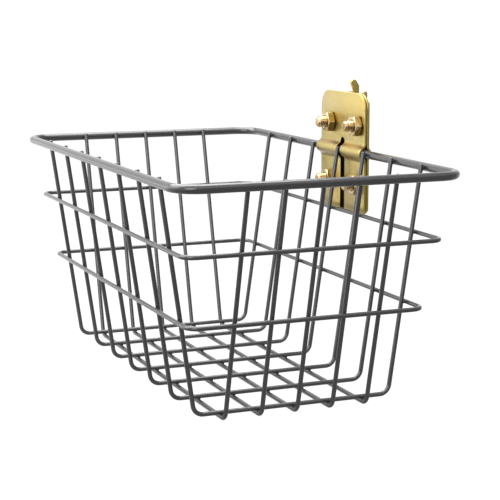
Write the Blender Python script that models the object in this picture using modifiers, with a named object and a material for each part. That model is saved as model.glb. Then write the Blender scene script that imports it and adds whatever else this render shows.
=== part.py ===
"""A welded wire basket that hangs on one slot of a slotted wall track.

Metres, +Z up. The origin is the middle of the track's slot, on the track's face: +Y goes into the wall,
+X runs along the track. The basket hangs on the -Y side, clamped by its rim between two plates.
"""

import math

import bmesh
import bpy
from mathutils import Vector

# Clearances that stand for a weld, a seat or a sliding fit
weld_gap = 0.0003
seat_gap = 0.0003
pin_gap = 0.00015
slide_gap = 0.0003
cut_overrun = 0.002

# The track that the fitting goes into: its slot stands upright
slot_height = 0.0603
slot_edge_depth = 0.0027

# Basket rim, bent from thick wire
rim_length = 0.254
rim_depth = 0.1418
rim_wire = 0.0042
rim_corner = 0.012
rim_rise = 0.00145

# Basket sides and floor, from thin wire
side_wire = 0.0022
floor_length = 0.1878
floor_depth = 0.0992
basket_drop = 0.110
wire_bend = 0.005
cross_wires = 7
cross_pitch = 0.030
long_wires = 5
long_pitch = 0.018
tip_below_rim_top = 0.0003
upper_hoop_drop = 0.0324
lower_hoop_drop = 0.0657
hoop_corner = 0.006

# The two plates that grip the rim
plate_width = 0.0515
plate_height = 0.0622
plate_rise = 0.00075
plate_top_corner = 0.0085
plate_bottom_corner = 0.0045
clamp_sheet = 0.00125
back_sheet = 0.00125
rim_behind_clamp_front = 0.0006
roll_fillet = 0.0013
upright_slot = 0.0048
upright_slot_shift = 0.0004
upright_slot_rise = 0.0066

# Carriage bolts and nuts
bolt_shank = 0.0060
bolt_neck = 0.0062
bolt_spacing_across = 0.0316
bolt_spacing_up = 0.0304
bolt_shift = 0.0024
bolt_rise = 0.00015
bolt_proud = 0.0084
bolt_chamfer = 0.0008
head_radius = 0.0049
head_height = 0.0022
neck_into_head = 0.00055
nut_across_flats = 0.0100
nut_thickness = 0.0038
nut_chamfer = 0.0006
nut_chamfer_reach = 0.0012

# Channel that holds the plates off the track, so that the bolt heads clear it
standoff = 0.0068
channel_width = 0.0158
channel_sheet = 0.0013
channel_corner = 0.0012
channel_top_inset = 0.0004
channel_notch_play = 0.0004
channel_foot_inset = 0.0015

# Hook body that goes through the slot
hook_width = 0.0064
hook_tail = 0.00195
hook_lip = 0.0025
hook_sheet_play = 0.0002
hook_top_below_slot = 0.0036
hook_nose = 0.0010

# Sliding latch
latch_sheet = 0.0015
latch_travel = 0.0026
latch_overlap = 0.0017
latch_notch_play = 0.00065
latch_front = 0.0026
latch_back_inset = 0.00035
latch_foot = 0.0080
latch_foot_slope = 0.0005
dog_chamfer = 0.0008
tab_rear = 0.0003
tab_front = 0.0034
tab_lean = 0.00175
tab_height = 0.0064
tab_nose_drop = 0.0014
tab_nose_in = 0.0012
tab_tip_slope = 0.0004
tab_chamfer_down = 0.0034
tab_chamfer_in = 0.0019
tab_root_drop = 0.0055

# Guide pins and spring
pin_diameter = 0.0030
pin_centre_back = 0.0004
upper_pin_height = 0.0200
lower_pin_height = 0.0020
pin_head_proud = 0.0008
pin_head_radius = 0.0024
spring_wire = 0.0005
spring_outer = 0.0040
spring_length = 0.0180
spring_curls = 10.5
spring_bore_play = 0.00025
spring_peg_width = 0.0016
spring_peg_length = 0.0060

# How finely round things are drawn
bend_steps = 6
corner_steps = 8
roll_steps = 10
hole_sides = 24
pin_sides = 16
nut_sides = 6
wire_roundness = 2
spring_roundness = 1
spring_points_a_curl = 10
square_corner_turn = math.radians(45)
facet_turn = math.radians(22.5)
merge_distance = 0.0000001
axis_merge_distance = 0.000001

# Places worked out from the sizes above
rim_radius = rim_wire / 2
wire_radius = side_wire / 2
back_plate_back = -standoff
back_plate_front = back_plate_back - back_sheet
clamp_back = back_plate_front - seat_gap
clamp_middle = clamp_back - clamp_sheet / 2
clamp_front = clamp_back - clamp_sheet
rim_centre_y = clamp_front + rim_behind_clamp_front
basket_y = rim_centre_y - (rim_depth / 2 - rim_radius)
rim_half_length = rim_length / 2 - rim_radius
rim_half_depth = rim_depth / 2 - rim_radius
tip_height = rim_rise + rim_radius - tip_below_rim_top
cross_floor = tip_height - basket_drop
long_floor = cross_floor - side_wire - weld_gap
upright_from_rim = rim_radius + wire_radius + weld_gap
cross_rim_half = rim_half_depth - upright_from_rim
long_rim_half = rim_half_length - upright_from_rim
cross_lean = (cross_rim_half - floor_depth / 2) / (rim_rise - cross_floor)
long_lean = (long_rim_half - floor_length / 2) / (rim_rise - long_floor)
plate_top = plate_rise + plate_height / 2
plate_bottom = plate_rise - plate_height / 2
slot_top = slot_height / 2
slot_bottom = -slot_height / 2
track_back = slot_edge_depth + hook_sheet_play
hook_back = track_back + hook_tail
channel_front = back_plate_back + weld_gap
channel_rear_face = channel_front + channel_sheet
hook_front = channel_rear_face + weld_gap
hook_inner = latch_sheet / 2 + slide_gap
hook_outer = hook_width / 2
spring_top = -latch_foot - seat_gap
spring_foot = spring_top - spring_length


def clear_scene():
    for old in list(bpy.data.objects):
        bpy.data.objects.remove(old, do_unlink=True)


def new_collection(name):
    made = bpy.data.collections.new(name)
    bpy.context.scene.collection.children.link(made)
    return made


def finish(name, colour, roughness, metallic):
    made = bpy.data.materials.new(name)
    made.use_nodes = True
    shader = made.node_tree.nodes["Principled BSDF"]
    shader.inputs["Base Color"].default_value = (*colour, 1.0)
    shader.inputs["Roughness"].default_value = roughness
    shader.inputs["Metallic"].default_value = metallic
    made.diffuse_color = (*colour, 1.0)
    return made


clear_scene()
parts = new_collection("e_track_wire_basket")
cutters = new_collection("cutters")

coated_wire = ("coated_wire", (0.10, 0.10, 0.105), 0.38, 0.0)
gold_zinc = ("gold_zinc", (0.72, 0.60, 0.26), 0.34, 1.0)
bolt_zinc = ("bolt_zinc", (0.60, 0.45, 0.22), 0.30, 1.0)
spring_steel = ("spring_steel", (0.55, 0.55, 0.56), 0.35, 1.0)


def link(obj, collection, look=None):
    for old in list(obj.users_collection):
        old.objects.unlink(obj)
    collection.objects.link(obj)
    if look:
        obj.data.materials.clear()
        obj.data.materials.append(finish(f"{obj.name}_{look[0]}", *look[1:]))
    return obj


def as_cutter(obj):
    link(obj, cutters)
    obj.hide_render = True
    obj.display_type = "WIRE"
    return obj


def curve_object(name, points, closed, turn=0.0):
    """A POLY curve through points, still without thickness."""
    data = bpy.data.curves.new(name, "CURVE")
    data.dimensions = "3D"
    spline = data.splines.new("POLY")
    spline.points.add(len(points) - 1)
    for point, place in zip(spline.points, points):
        point.co = (*place, 1.0)
        point.tilt = turn
    spline.use_cyclic_u = closed
    return bpy.data.objects.new(name, data)


def wire_object(name, points, diameter, look, closed=False, turn=0.0, roundness=wire_roundness):
    """A bent wire: round in section, its ends capped."""
    obj = curve_object(name, points, closed, turn)
    obj.data.bevel_depth = diameter / 2
    obj.data.bevel_resolution = roundness
    obj.data.use_fill_caps = not closed
    return link(obj, parts, look)


def real_mesh(obj, name):
    """The evaluated shape of obj as a mesh object of its own, its doubled points merged."""
    bpy.context.scene.collection.objects.link(obj)
    bpy.context.view_layer.update()
    graph = bpy.context.evaluated_depsgraph_get()
    mesh = bpy.data.meshes.new_from_object(obj.evaluated_get(graph))
    work = bmesh.new()
    work.from_mesh(mesh)
    bmesh.ops.remove_doubles(work, verts=work.verts, dist=merge_distance)
    bmesh.ops.recalc_face_normals(work, faces=work.faces)
    work.to_mesh(mesh)
    work.free()
    place = obj.matrix_world.copy()
    bpy.data.objects.remove(obj, do_unlink=True)
    made = bpy.data.objects.new(name, mesh)
    made.matrix_world = place
    bpy.context.scene.collection.objects.link(made)
    return made


def outline_solid(name, outline, thickness, centre=(0, 0, 0), turn=(0, 0, 0)):
    """A flat outline in its own XY plane, given its thickness along its own Z."""
    data = bpy.data.curves.new(name + "_outline", "CURVE")
    data.dimensions = "2D"
    data.fill_mode = "BOTH"
    data.extrude = thickness / 2
    spline = data.splines.new("POLY")
    spline.points.add(len(outline) - 1)
    for point, (across, along) in zip(spline.points, outline):
        point.co = (across, along, 0, 1)
    spline.use_cyclic_u = True
    obj = bpy.data.objects.new(name + "_outline", data)
    obj.location = centre
    obj.rotation_euler = turn
    return real_mesh(obj, name)


# An outline in (x, z) faces -Y, and an outline in (y, z) faces +X.
facing_front = (math.pi / 2, 0, 0)
facing_side = (math.pi / 2, 0, math.pi / 2)
flats_up = (math.pi / 2, math.pi / 6, 0)


def cylinder(name, radius, length, centre, turn=(0, 0, 0), sides=hole_sides):
    bpy.ops.mesh.primitive_cylinder_add(
        vertices=sides, radius=radius, depth=length, location=centre, rotation=turn
    )
    obj = bpy.context.object
    obj.name = name
    return obj


def block(name, low, high):
    size = Vector(high) - Vector(low)
    bpy.ops.mesh.primitive_cube_add(size=1, location=(Vector(high) + Vector(low)) / 2)
    obj = bpy.context.object
    obj.name = name
    obj.scale = size
    bpy.ops.object.transform_apply(location=False, rotation=False, scale=True)
    return obj


def combine(obj, tool, operation="DIFFERENCE"):
    step = obj.modifiers.new(tool.name, "BOOLEAN")
    step.operation = operation
    step.object = as_cutter(tool)
    return obj


def arc(centre, radius, start, end, steps):
    """Points round centre from the start to the end direction."""
    return [
        (
            centre[0] + radius * math.cos(start + (end - start) * i / steps),
            centre[1] + radius * math.sin(start + (end - start) * i / steps),
        )
        for i in range(steps + 1)
    ]


def rounded(corners, radii, steps=bend_steps, closed=True):
    """The corners joined by straight lines, each corner rounded to its own radius."""
    points = []
    last = len(corners) - 1
    for i, (corner, radius) in enumerate(zip(corners, radii)):
        if radius == 0 or (not closed and i in (0, last)):
            points.append(Vector(corner))
            continue
        here = Vector(corner)
        back = (Vector(corners[i - 1]) - here).normalized()
        ahead = (Vector(corners[(i + 1) % len(corners)]) - here).normalized()
        half = back.angle(ahead) / 2
        middle = here + (back + ahead).normalized() * radius / math.sin(half)
        first = here + back * radius / math.tan(half) - middle
        final = here + ahead * radius / math.tan(half) - middle
        sweep = first.angle(final)
        for k in range(steps + 1):
            share = k / steps
            turned = first * math.sin((1 - share) * sweep) + final * math.sin(share * sweep)
            points.append(middle + turned / math.sin(sweep))
    return points


def rounded_rectangle(half_length, half_depth, corner, height, steps):
    corners = [
        (half_length, half_depth, height),
        (-half_length, half_depth, height),
        (-half_length, -half_depth, height),
        (half_length, -half_depth, height),
    ]
    middle = Vector((0, basket_y, 0))
    return [middle + p for p in rounded(corners, [corner] * len(corners), steps)]


def smooth(obj):
    obj.data.shade_smooth()
    obj.data.set_sharp_from_angle(angle=square_corner_turn)
    return obj


# Basket: rim, side hoops and the two families of U-shaped wires
def cross_half(height):
    return cross_rim_half - cross_lean * (rim_rise - height)


def long_half(height):
    return long_rim_half - long_lean * (rim_rise - height)


def make_rim():
    loop = rounded_rectangle(rim_half_length, rim_half_depth, rim_corner, rim_rise, corner_steps)
    wire_object("rim", loop, rim_wire, coated_wire, closed=True)


def make_hoop(name, drop):
    height = tip_height - drop
    outside = side_wire + weld_gap
    loop = rounded_rectangle(
        long_half(height) + outside, cross_half(height) + outside, hoop_corner, height, bend_steps
    )
    wire_object(name, loop, side_wire, coated_wire, closed=True)


def make_cross_wire(number):
    x = (number - (cross_wires + 1) / 2) * cross_pitch
    corners = [
        (x, basket_y - cross_half(tip_height), tip_height),
        (x, basket_y - cross_half(cross_floor), cross_floor),
        (x, basket_y + cross_half(cross_floor), cross_floor),
        (x, basket_y + cross_half(tip_height), tip_height),
    ]
    path = rounded(corners, [wire_bend] * len(corners), bend_steps, closed=False)
    wire_object(f"cross_wire_{number}", path, side_wire, coated_wire)


def make_long_wire(number):
    y = basket_y + (number - (long_wires + 1) / 2) * long_pitch
    corners = [
        (-long_half(tip_height), y, tip_height),
        (-long_half(long_floor), y, long_floor),
        (long_half(long_floor), y, long_floor),
        (long_half(tip_height), y, tip_height),
    ]
    path = rounded(corners, [wire_bend] * len(corners), bend_steps, closed=False)
    wire_object(f"long_wire_{number}", path, side_wire, coated_wire, turn=facet_turn)


# Plates that grip the rim
def plate_block(name, front, back):
    """The outline that both plates share, as a solid from front to back."""
    half = plate_width / 2
    corners = [(-half, plate_bottom), (half, plate_bottom), (half, plate_top), (-half, plate_top)]
    radii = [plate_bottom_corner, plate_bottom_corner, plate_top_corner, plate_top_corner]
    outline = rounded(corners, radii, corner_steps)
    return outline_solid(name, outline, back - front, (0, (front + back) / 2, 0), facing_front)


def bolt_places():
    across = bolt_spacing_across / 2
    up = bolt_spacing_up / 2
    return {
        "upper_left": (bolt_shift - across, bolt_rise + up),
        "upper_right": (bolt_shift + across, bolt_rise + up),
        "lower_left": (bolt_shift - across, bolt_rise - up),
        "lower_right": (bolt_shift + across, bolt_rise - up),
    }


def sheet_path(middle, side):
    """The middle of a plate's sheet seen from its end. It leaves the flat to pass round the rim.

    The side is -1 where the roll bulges to the front and 1 where it bulges to the back.
    """
    roll = rim_radius + seat_gap + clamp_sheet / 2
    fillet_y = middle + side * roll_fillet
    across = fillet_y - rim_centre_y
    up = math.sqrt((roll + roll_fillet) ** 2 - across**2)
    start = math.atan2(up, across)
    if side < 0:
        upper = arc((fillet_y, rim_rise + up), roll_fillet, 0, start - math.pi, bend_steps)
        around = arc((rim_centre_y, rim_rise), roll, start, 2 * math.pi - start, roll_steps)
        lower = arc((fillet_y, rim_rise - up), roll_fillet, math.pi - start, 0, bend_steps)
    else:
        upper = arc((fillet_y, rim_rise + up), roll_fillet, math.pi, math.pi + start, bend_steps)
        around = arc((rim_centre_y, rim_rise), roll, start, -start, roll_steps)
        lower = arc((fillet_y, rim_rise - up), roll_fillet, math.pi - start, math.pi, bend_steps)
    top = (middle, plate_top + cut_overrun)
    bottom = (middle, plate_bottom - cut_overrun)
    return [top] + upper[:-1] + around + lower[1:] + [bottom]


def rolled_plate(name, middle, side, sheet):
    """A plate with its roll, trimmed to the outline that both plates share."""
    data = bpy.data.curves.new(f"{name}_sheet", "CURVE")
    data.dimensions = "3D"
    data.extrude = plate_width / 2 + cut_overrun
    path = sheet_path(middle, side)
    spline = data.splines.new("POLY")
    spline.points.add(len(path) - 1)
    for point, place in zip(spline.points, path):
        point.co = (*place, 0, 1)
    ribbon = bpy.data.objects.new(f"{name}_sheet", data)
    ribbon.rotation_euler = facing_side
    plate = real_mesh(ribbon, name)
    wall = plate.modifiers.new("wall", "SOLIDIFY")
    wall.thickness = sheet
    wall.offset = 0
    wall.use_even_offset = True
    reach = rim_wire + sheet + cut_overrun
    combine(plate, plate_block(f"{name}_outline", middle - reach, middle + reach), "INTERSECT")
    return plate


def make_clamp_plate():
    plate = rolled_plate("clamp_plate", clamp_middle, -1, clamp_sheet)
    half = upright_slot / 2
    round_middle = rim_rise + upright_slot_rise - half
    foot = plate_bottom - cut_overrun
    outline = [(-half, foot), (half, foot)] + arc((0, round_middle), half, 0, math.pi, corner_steps)
    depth = 2 * (rim_wire + clamp_sheet + cut_overrun)
    middle = (upright_slot_shift, clamp_middle, 0)
    slot = outline_solid("upright_slot", outline, depth, middle, facing_front)
    combine(plate, slot)
    for name, (x, z) in bolt_places().items():
        hole = bolt_shank / 2 + pin_gap
        place = (x, clamp_middle, z)
        combine(plate, cylinder(f"clamp_hole_{name}", hole, 2 * clamp_sheet, place, facing_front))
    return link(plate, parts, gold_zinc)


def make_back_plate():
    middle = (back_plate_front + back_plate_back) / 2
    plate = rolled_plate("back_plate", middle, 1, back_sheet)
    half = bolt_neck / 2 + pin_gap
    for name, (x, z) in bolt_places().items():
        low = (x - half, back_plate_front - cut_overrun, z - half)
        high = (x + half, back_plate_back + cut_overrun, z + half)
        combine(plate, block(f"neck_hole_{name}", low, high))
    return link(plate, parts, gold_zinc)


# Bolts and nuts
def turned(name, profile, centre, steps=hole_sides):
    """A profile of (radius, height) down its outer side, turned about Y and set at centre."""
    mesh = bpy.data.meshes.new(name)
    edges = [(i, i + 1) for i in range(len(profile) - 1)]
    mesh.from_pydata([(radius, 0, height) for radius, height in profile], edges, [])
    obj = bpy.data.objects.new(name, mesh)
    obj.location = centre
    obj.rotation_euler = (-math.pi / 2, 0, 0)
    spin = obj.modifiers.new("turned", "SCREW")
    spin.steps = steps
    spin.render_steps = steps
    spin.use_merge_vertices = True
    spin.merge_threshold = axis_merge_distance
    return real_mesh(obj, name)


def make_bolt(name, x, z):
    """Domed head behind the back plate, square neck in it, round shank out through the clamp."""
    seat = back_plate_back + seat_gap
    end = clamp_front - bolt_proud
    shank = bolt_shank / 2
    shank_length = seat - end
    dome_radius = (head_radius**2 + head_height**2) / (2 * head_height)
    sweep = math.asin(head_radius / dome_radius)
    dome = [
        (dome_radius * math.sin(sweep * i / bend_steps),
         dome_radius * (math.cos(sweep * i / bend_steps) - math.cos(sweep)))
        for i in range(bend_steps + 1)
    ]
    profile = dome + [
        (shank, 0),
        (shank, bolt_chamfer - shank_length),
        (shank - bolt_chamfer, -shank_length),
        (0, -shank_length),
    ]
    bolt = turned(f"bolt_{name}", profile, (x, seat, z))
    half = bolt_neck / 2
    neck = block(
        f"neck_{name}",
        (x - half, back_plate_front, z - half),
        (x + half, seat + neck_into_head, z + half),
    )
    combine(bolt, neck, "UNION")
    return link(smooth(bolt), parts, bolt_zinc)


def make_nut(name, x, z):
    front = clamp_front - seat_gap - nut_thickness
    middle = (x, front + nut_thickness / 2, z)
    corner = nut_across_flats / math.sqrt(3)
    nut = cylinder(f"nut_{name}", corner, nut_thickness, middle, flats_up, nut_sides)
    flat = nut_across_flats / 2
    rise = nut_thickness / 2
    profile = [
        (0, rise),
        (flat, rise),
        (flat + nut_chamfer_reach, rise - nut_chamfer),
        (flat + nut_chamfer_reach, nut_chamfer - rise),
        (flat, -rise),
        (0, -rise),
    ]
    combine(nut, turned(f"nut_chamfer_{name}", profile, middle), "INTERSECT")
    bore = bolt_shank / 2 + pin_gap
    combine(nut, cylinder(f"nut_bore_{name}", bore, 2 * nut_thickness, middle, facing_front))
    return link(nut, parts, bolt_zinc)


# Fitting behind the plates: stand-off channel, hook body, latch, pins and spring
def make_channel():
    half = channel_width / 2
    inner = half - channel_sheet
    low = plate_bottom + channel_foot_inset
    high = plate_top - channel_top_inset
    corners = [
        (-half, 0),
        (-half, channel_front),
        (half, channel_front),
        (half, 0),
        (inner, 0),
        (inner, channel_rear_face),
        (-inner, channel_rear_face),
        (-inner, 0),
    ]
    radii = [0, channel_corner, channel_corner, 0, 0, 0, 0, 0]
    outline = rounded(corners, radii)
    channel = outline_solid("standoff_channel", outline, high - low, (0, 0, (low + high) / 2))
    roll = rim_radius + seat_gap + back_sheet + channel_notch_play
    notch_low = (-half - cut_overrun, channel_front - cut_overrun, rim_rise - roll)
    notch_high = (half + cut_overrun, rim_centre_y + roll, rim_rise + roll)
    combine(channel, block("roll_notch", notch_low, notch_high))
    return link(channel, parts, gold_zinc)


def make_hook_body():
    """The neck through the slot with its lip behind the track, forked from the top for the latch."""
    top = slot_top - hook_top_below_slot
    seat = slot_bottom + seat_gap
    lip = slot_bottom - hook_lip
    outline = [
        (hook_front, top),
        (hook_front, seat),
        (track_back, seat),
        (track_back, lip),
        (hook_back - hook_nose, lip),
        (hook_back, lip + hook_nose),
        (hook_back, top - hook_nose),
        (hook_back - hook_nose, top),
    ]
    body = outline_solid("hook_body", outline, hook_width, (0, 0, 0), facing_side)
    fork = block(
        "latch_fork",
        (-hook_inner, hook_front - cut_overrun, spring_foot - seat_gap),
        (hook_inner, hook_back + cut_overrun, top + cut_overrun),
    )
    combine(body, fork)
    bore_foot = spring_foot - seat_gap
    bore_length = top + cut_overrun - bore_foot
    bore = spring_outer / 2 + spring_bore_play
    centre = (0, pin_centre_back, bore_foot + bore_length / 2)
    combine(body, cylinder("spring_bore", bore, bore_length, centre))
    for label, height in (("upper", upper_pin_height), ("lower", lower_pin_height)):
        hole = pin_diameter / 2 + pin_gap
        place = (0, pin_centre_back, height)
        tool = cylinder(f"{label}_pin_hole", hole, 2 * hook_width, place, (0, math.pi / 2, 0))
        combine(body, tool)
    return link(body, parts, gold_zinc)


def tab_root():
    return slot_top - latch_notch_play - tab_root_drop


def latch_outline():
    """The latch from the side: peg, body, dog behind the track's edge, tab in front of it."""
    notch = slot_top - latch_notch_play
    dog = slot_top + latch_overlap
    rear = hook_back - latch_back_inset
    tip = plate_top + tab_height
    front = -tab_front
    peg = spring_peg_width / 2
    foot = -latch_foot
    return [
        (pin_centre_back - peg, foot),
        (pin_centre_back - peg, foot - spring_peg_length),
        (pin_centre_back + peg, foot - spring_peg_length),
        (pin_centre_back + peg, foot),
        (rear, foot + latch_foot_slope),
        (rear, dog - dog_chamfer),
        (rear - dog_chamfer, dog),
        (track_back, dog),
        (track_back, notch),
        (-tab_rear, notch),
        (-tab_rear, tip - tab_chamfer_down),
        (-tab_rear - tab_chamfer_in, tip - tab_tip_slope),
        (front - tab_lean + tab_nose_in, tip),
        (front - tab_lean, tip - tab_nose_drop),
        (front, plate_top + seat_gap),
        (front, tab_root() + (tab_front - latch_front)),
        (-latch_front, tab_root()),
        (-latch_front, foot + latch_foot_slope),
    ]


def make_latch():
    latch = outline_solid("latch", latch_outline(), latch_sheet, (0, 0, 0), facing_side)
    half = pin_diameter / 2 + slide_gap
    for label, height in (("upper", upper_pin_height), ("lower", lower_pin_height)):
        ends = arc((pin_centre_back, height + latch_travel), half, 0, math.pi, corner_steps)
        ends += arc((pin_centre_back, height), half, math.pi, 2 * math.pi, corner_steps)
        tool = outline_solid(f"latch_{label}_slot", ends, 2 * latch_sheet, (0, 0, 0), facing_side)
        combine(latch, tool)
    return link(latch, parts, gold_zinc)


def make_guide_pin(name, height):
    """A rivet through the hook body, headed at each end."""
    shank = pin_diameter / 2
    reach = hook_outer + seat_gap
    end = reach + pin_head_proud
    profile = [
        (0, end),
        (pin_head_radius - pin_head_proud / 2, end),
        (pin_head_radius, end - pin_head_proud / 2),
        (pin_head_radius, reach),
        (shank, reach),
        (shank, -reach),
        (pin_head_radius, -reach),
        (pin_head_radius, pin_head_proud / 2 - end),
        (pin_head_radius - pin_head_proud / 2, -end),
        (0, -end),
    ]
    pin = turned(name, profile, (0, 0, 0), pin_sides)
    pin.rotation_euler = (0, math.pi / 2, 0)
    pin.location = (0, pin_centre_back, height)
    return link(smooth(pin), parts, bolt_zinc)


def make_spring():
    radius = (spring_outer - spring_wire) / 2
    rise = spring_length - spring_wire
    count = round(spring_curls * spring_points_a_curl)
    path = []
    for i in range(count + 1):
        angle = 2 * math.pi * i / spring_points_a_curl
        height = spring_foot + spring_wire / 2 + rise * i / count
        path.append(
            Vector((radius * math.cos(angle), pin_centre_back + radius * math.sin(angle), height))
        )
    wire_object("latch_spring", path, spring_wire, spring_steel, roundness=spring_roundness)


make_rim()
make_hoop("upper_hoop", upper_hoop_drop)
make_hoop("lower_hoop", lower_hoop_drop)
for wire_number in range(1, cross_wires + 1):
    make_cross_wire(wire_number)
for wire_number in range(1, long_wires + 1):
    make_long_wire(wire_number)
make_clamp_plate()
make_back_plate()
for place_name, (place_x, place_z) in bolt_places().items():
    make_bolt(place_name, place_x, place_z)
    make_nut(place_name, place_x, place_z)
make_channel()
make_hook_body()
make_latch()
make_guide_pin("guide_pin_upper", upper_pin_height)
make_guide_pin("guide_pin_lower", lower_pin_height)
make_spring()
bpy.context.view_layer.update()
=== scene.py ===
import math
from math import cos, pi, radians, sin

import bmesh
import bpy
from mathutils import Matrix, Vector


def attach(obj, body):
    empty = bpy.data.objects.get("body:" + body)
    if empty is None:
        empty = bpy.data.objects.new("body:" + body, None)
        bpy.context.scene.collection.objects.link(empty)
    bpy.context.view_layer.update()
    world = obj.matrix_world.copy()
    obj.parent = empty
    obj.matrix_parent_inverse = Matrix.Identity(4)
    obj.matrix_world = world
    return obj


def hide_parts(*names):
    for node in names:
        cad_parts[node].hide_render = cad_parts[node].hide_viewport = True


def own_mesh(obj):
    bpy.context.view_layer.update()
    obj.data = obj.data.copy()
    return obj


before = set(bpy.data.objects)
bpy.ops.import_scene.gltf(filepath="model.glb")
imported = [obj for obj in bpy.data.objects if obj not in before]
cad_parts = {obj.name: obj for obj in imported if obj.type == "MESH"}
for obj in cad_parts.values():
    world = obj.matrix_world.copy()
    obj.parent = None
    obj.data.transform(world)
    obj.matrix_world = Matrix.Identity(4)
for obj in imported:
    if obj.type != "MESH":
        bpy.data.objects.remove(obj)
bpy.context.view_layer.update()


# Rim: one thick steel wire, bent to a rounded rectangle and butt welded into a ring. It is dipped
# with the whole basket, so all the wire has the same satin charcoal coat with a faint orange peel.
rim_radius = 0.0021
rim_height = 0.00145
rim_half_length = 0.1249
rim_half_depth = 0.0688
rim_corner = 0.012
rim_corner_steps = 20
rim_sides = 36
basket_middle = -0.0778
charcoal = (0.022, 0.022, 0.0235)
charcoal_thin = (0.031, 0.031, 0.033)
coat_clouds = {"Cloud scale": 55.0, "Grain scale": 1100.0}
coat_rubs = {"Rub scale": 210.0, "Cover": 0.36}
coat_thin_patches = (0.35, 0.65, 0.0, 0.35)
coat_roughness = (0.3, 0.7, 0.13, 0.22)
coat_gloss = 0.6
peel_strength = 0.15
peel_depth = 0.00004
rub_paleness = 0.35
rub_polish = 0.07
rub_edge = 0.12
same_point = 1e-7


def set_inputs(tree, node, values):
    """Set each input of the node, or link it where its value is another node's output."""
    for name, value in values.items():
        if isinstance(value, bpy.types.NodeSocket):
            tree.links.new(value, node.inputs[name])
        else:
            node.inputs[name].default_value = value


def node_with(tree, kind, values=None, **settings):
    """A new node in the tree, its settings made and its inputs set or linked."""
    node = tree.nodes.new(kind)
    for name, value in settings.items():
        setattr(node, name, value)
    set_inputs(tree, node, values or {})
    return node


def maths(tree, operation, first, second=0.0):
    values = {0: first, 1: second}
    return node_with(tree, "ShaderNodeMath", values, operation=operation).outputs[0]


def spread(tree, value, low, high, to_low, to_high):
    """The value's range low to high, spread over to_low to to_high."""
    values = {"Value": value, "From Min": low, "From Max": high, "To Min": to_low}
    return node_with(tree, "ShaderNodeMapRange", {**values, "To Max": to_high}).outputs["Result"]


def blend_colours(tree, share, *colours):
    first, second = [
        colour if isinstance(colour, bpy.types.NodeSocket) else (*colour, 1.0)
        for colour in colours
    ]
    values = {0: share, 6: first, 7: second}
    return node_with(tree, "ShaderNodeMix", values, data_type="RGBA").outputs[2]


def new_group(name, kind, inputs, outputs, defaults=None):
    """An empty node group with its sockets, as (tree, inputs node, outputs node)."""
    tree = bpy.data.node_groups.new(name, kind)
    for way, sockets in (("INPUT", inputs), ("OUTPUT", outputs)):
        for label, socket in sockets.items():
            tree.interface.new_socket(label, in_out=way, socket_type="NodeSocket" + socket)
    for label, value in (defaults or {}).items():
        tree.interface.items_tree[label].default_value = value
    return tree, tree.nodes.new("NodeGroupInput"), tree.nodes.new("NodeGroupOutput")


def object_place(tree):
    return node_with(tree, "ShaderNodeTexCoord").outputs["Object"]


def vector_maths(tree, operation, *values):
    """The outputs of a vector sum: the first is a vector, and the one named Value a number."""
    values = dict(enumerate(values))
    return node_with(tree, "ShaderNodeVectorMath", values, operation=operation).outputs


def noise(tree, place, scale, detail, roughness):
    values = {"Vector": place, "Scale": scale, "Detail": detail, "Roughness": roughness}
    return node_with(tree, "ShaderNodeTexNoise", values).outputs["Fac"]


def cloud_group():
    """Soft clouds and fine grain over a surface: what a coat or a plating bath leaves."""
    inputs = {"Cloud scale": "Float", "Grain scale": "Float", "Stretch": "Vector"}
    outputs = {"Cloud": "Float", "Grain": "Float"}
    defaults = {"Cloud scale": 45.0, "Grain scale": 1400.0, "Stretch": (1.0, 1.0, 1.0)}
    tree, given, out = new_group("cloud_and_grain", "ShaderNodeTree", inputs, outputs, defaults)
    place = object_place(tree)
    stretched = vector_maths(tree, "MULTIPLY", place, given.outputs["Stretch"])[0]
    clouds = noise(tree, place, given.outputs["Cloud scale"], detail=3.0, roughness=0.6)
    grain = noise(tree, stretched, given.outputs["Grain scale"], detail=2.0, roughness=0.5)
    set_inputs(tree, out, {"Cloud": clouds, "Grain": grain})
    return tree


cloud_and_grain = cloud_group()


def rub_group():
    """Small bright rubs where a face has been handled: sparse, and soft at the edge."""
    inputs = {"Rub scale": "Float", "Cover": "Float"}
    defaults = {"Rub scale": 160.0, "Cover": 0.3}
    tree, given, out = new_group(
        "handling_rubs", "ShaderNodeTree", inputs, {"Rub": "Float"}, defaults
    )
    place = object_place(tree)
    spots = noise(tree, place, given.outputs["Rub scale"], detail=4.0, roughness=0.7)
    edge = maths(tree, "SUBTRACT", 1.0, given.outputs["Cover"])
    above = maths(tree, "SUBTRACT", spots, edge)
    set_inputs(tree, out, {"Rub": spread(tree, above, 0.0, rub_edge, 0.0, 1.0)})
    return tree


handling_rubs = rub_group()


def surface(name):
    """A new material, as (material, tree, Principled shader)."""
    made = bpy.data.materials.new(name)
    made.use_nodes = True
    return made, made.node_tree, made.node_tree.nodes["Principled BSDF"]


def effect(tree, group, values):
    """The outputs of a shared surface effect, placed in a material with its own values."""
    return node_with(tree, "ShaderNodeGroup", values, node_tree=group).outputs


def bumped(tree, height, strength, depth):
    values = {"Height": height, "Strength": strength, "Distance": depth}
    return node_with(tree, "ShaderNodeBump", values).outputs["Normal"]


def satin_coat():
    made, tree, shader = surface("satin_charcoal_coat")
    clouds = effect(tree, cloud_and_grain, coat_clouds)
    rub = effect(tree, handling_rubs, coat_rubs)["Rub"]
    share = spread(tree, clouds["Cloud"], *coat_thin_patches)
    share = maths(tree, "ADD", share, maths(tree, "MULTIPLY", rub, rub_paleness))
    rough = spread(tree, clouds["Cloud"], *coat_roughness)
    rough = maths(tree, "SUBTRACT", rough, maths(tree, "MULTIPLY", rub, rub_polish))
    values = {
        "Base Color": blend_colours(tree, share, charcoal, charcoal_thin),
        "Roughness": rough,
        "Specular IOR Level": coat_gloss,
        "Normal": bumped(tree, clouds["Grain"], peel_strength, peel_depth),
    }
    set_inputs(tree, shader, values)
    return made


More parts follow.
